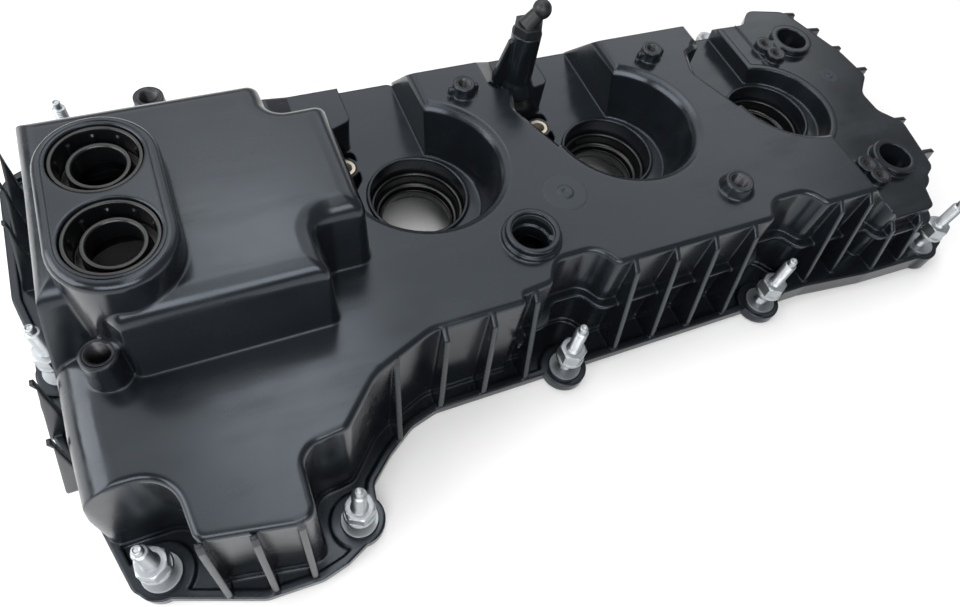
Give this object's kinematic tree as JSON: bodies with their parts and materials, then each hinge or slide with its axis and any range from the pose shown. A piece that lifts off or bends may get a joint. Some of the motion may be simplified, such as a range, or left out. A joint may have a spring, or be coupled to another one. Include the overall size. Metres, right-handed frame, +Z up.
{
  "type": "engine valve cover",
  "caption": "Moulded engine valve cover with plug wells and coil channels, a raised solenoid port housing, cam sensor pads, a breather socket and captive flange studs that slide in sleeves.",
  "frame": {"origin": "under the middle of the cover's outline, on the plane that the gasket rests on", "axes": "+X along the row of plug wells, from the raised solenoid housing to the sensor platform; +Y to the back, where the coil channels open; +Z up, away from the cylinder head"},
  "size_m": [0.486, 0.254, 0.112],
  "materials": {
    "nylon": "satin black glass-filled nylon",
    "separator_plastic": "black nylon plate",
    "seal_rubber": "black seal rubber",
    "zinc_steel": "zinc plated steel",
    "pale_plated_steel": "pale passivated plated steel",
    "insert_steel": "dull threaded insert",
    "black_steel": "black coated steel"
  },
  "bodies": {
    "cover": {"cover_shell": "nylon", "perimeter_gasket": "seal_rubber", "oil_separator_plate": "separator_plastic", "plug_well_seal_1": "seal_rubber", "plug_well_seal_2": "seal_rubber", "plug_well_seal_3": "seal_rubber", "solenoid_port_seal_1": "seal_rubber", "solenoid_port_seal_2": "seal_rubber", "bolt_sleeves": "zinc_steel", "bolt_grommets": "seal_rubber", "inner_fixing_sleeves": "pale_plated_steel", "accessory_inserts": "insert_steel", "coil_inserts": "insert_steel", "sensor_inserts": "insert_steel", "ball_stud": "black_steel"},
    "stud_bolt_front_corner": {"stud_bolt_front_corner": "zinc_steel"},
    "stud_bolt_front_lobe": {"stud_bolt_front_lobe": "zinc_steel"},
    "stud_bolt_front_middle": {"stud_bolt_front_middle": "zinc_steel"},
    "stud_bolt_front_right": {"stud_bolt_front_right": "zinc_steel"},
    "stud_bolt_right_corner": {"stud_bolt_right_corner": "zinc_steel"},
    "stud_bolt_left_end": {"stud_bolt_left_end": "zinc_steel"},
    "stud_bolt_back_corner": {"stud_bolt_back_corner": "zinc_steel"},
    "flange_bolt_back_left": {"flange_bolt_back_left": "zinc_steel"},
    "flange_bolt_back_middle": {"flange_bolt_back_middle": "zinc_steel"},
    "flange_bolt_back_right": {"flange_bolt_back_right": "zinc_steel"},
    "flange_bolt_platform_back": {"flange_bolt_platform_back": "zinc_steel"},
    "flange_bolt_right_end": {"flange_bolt_right_end": "zinc_steel"}
  },
  "joints": [
    {"name": "stud_bolt_front_corner_slide", "type": "slide", "parent": "cover", "child": "stud_bolt_front_corner", "axis": [0, 0, 1], "range_m": [-0.0089, 0.001]},
    {"name": "stud_bolt_front_lobe_slide", "type": "slide", "parent": "cover", "child": "stud_bolt_front_lobe", "axis": [0, 0, 1], "range_m": [-0.0089, 0.001]},
    {"name": "stud_bolt_front_middle_slide", "type": "slide", "parent": "cover", "child": "stud_bolt_front_middle", "axis": [0, 0, 1], "range_m": [-0.0089, 0.001]},
    {"name": "stud_bolt_front_right_slide", "type": "slide", "parent": "cover", "child": "stud_bolt_front_right", "axis": [0, 0, 1], "range_m": [-0.0089, 0.001]},
    {"name": "stud_bolt_right_corner_slide", "type": "slide", "parent": "cover", "child": "stud_bolt_right_corner", "axis": [0, 0, 1], "range_m": [-0.0089, 0.001]},
    {"name": "stud_bolt_left_end_slide", "type": "slide", "parent": "cover", "child": "stud_bolt_left_end", "axis": [0, 0, 1], "range_m": [-0.0089, 0.001]},
    {"name": "stud_bolt_back_corner_slide", "type": "slide", "parent": "cover", "child": "stud_bolt_back_corner", "axis": [0, 0, 1], "range_m": [-0.0089, 0.001]},
    {"name": "flange_bolt_back_left_slide", "type": "slide", "parent": "cover", "child": "flange_bolt_back_left", "axis": [0, 0, 1], "range_m": [-0.0089, 0.001]},
    {"name": "flange_bolt_back_middle_slide", "type": "slide", "parent": "cover", "child": "flange_bolt_back_middle", "axis": [0, 0, 1], "range_m": [-0.0089, 0.001]},
    {"name": "flange_bolt_back_right_slide", "type": "slide", "parent": "cover", "child": "flange_bolt_back_right", "axis": [0, 0, 1], "range_m": [-0.0089, 0.001]},
    {"name": "flange_bolt_platform_back_slide", "type": "slide", "parent": "cover", "child": "flange_bolt_platform_back", "axis": [0, 0, 1], "range_m": [-0.0089, 0.001]},
    {"name": "flange_bolt_right_end_slide", "type": "slide", "parent": "cover", "child": "flange_bolt_right_end", "axis": [0, 0, 1], "range_m": [-0.0089, 0.001]}
  ]
}
